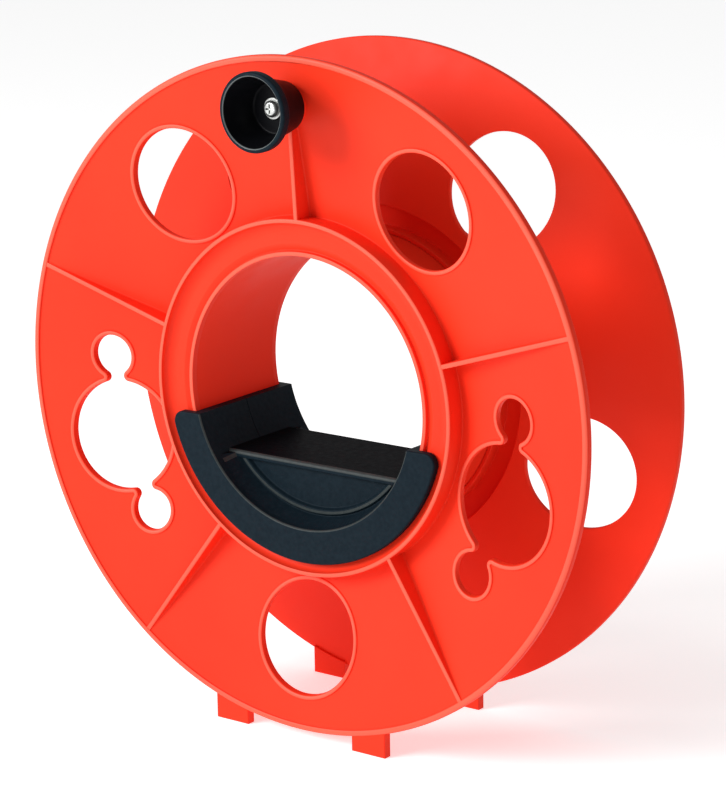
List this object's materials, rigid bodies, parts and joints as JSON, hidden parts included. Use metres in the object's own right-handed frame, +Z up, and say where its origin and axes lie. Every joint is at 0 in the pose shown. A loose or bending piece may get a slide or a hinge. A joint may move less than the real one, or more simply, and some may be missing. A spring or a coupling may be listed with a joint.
{
  "type": "extension cord reel",
  "caption": "Free-standing hand-wound extension cord reel with two vented flanges on a hollow drum, a D-shaped centre grip that turns in the drum and a cup-shaped winding knob.",
  "frame": {"origin": "on the surface that the feet stand on, under the middle of the bounding box", "axes": "+Y along the reel axis towards the rear flange, +Z up, so the front flange and its knob face -Y"},
  "size_m": [0.36, 0.122, 0.3645],
  "materials": {
    "shell": "satin orange-red moulded plastic",
    "grip": "fine-textured dark slate plastic",
    "knob": "satin black moulded plastic",
    "fastener": "zinc-plated steel"
  },
  "bodies": {
    "reel": {"front_flange": "shell", "rear_flange": "shell", "drum": "shell", "knob_sleeve": "fastener", "knob_washer": "fastener", "knob_screw": "fastener", "knob_nut": "fastener", "knob_nut_washer": "fastener"},
    "handle": {"handle_front_half": "grip", "handle_rear_half": "grip", "handle_screws": "fastener"},
    "knob": {"knob": "knob"}
  },
  "joints": [
    {"name": "handle_turn", "type": "hinge", "parent": "reel", "child": "handle", "pos_m": [0, 0.014, 0.1845], "axis": [0, 1, 0], "continuous": true},
    {"name": "knob_spin", "type": "hinge", "parent": "reel", "child": "knob", "pos_m": [0, -0.045, 0.339], "axis": [0, 1, 0], "continuous": true}
  ]
}
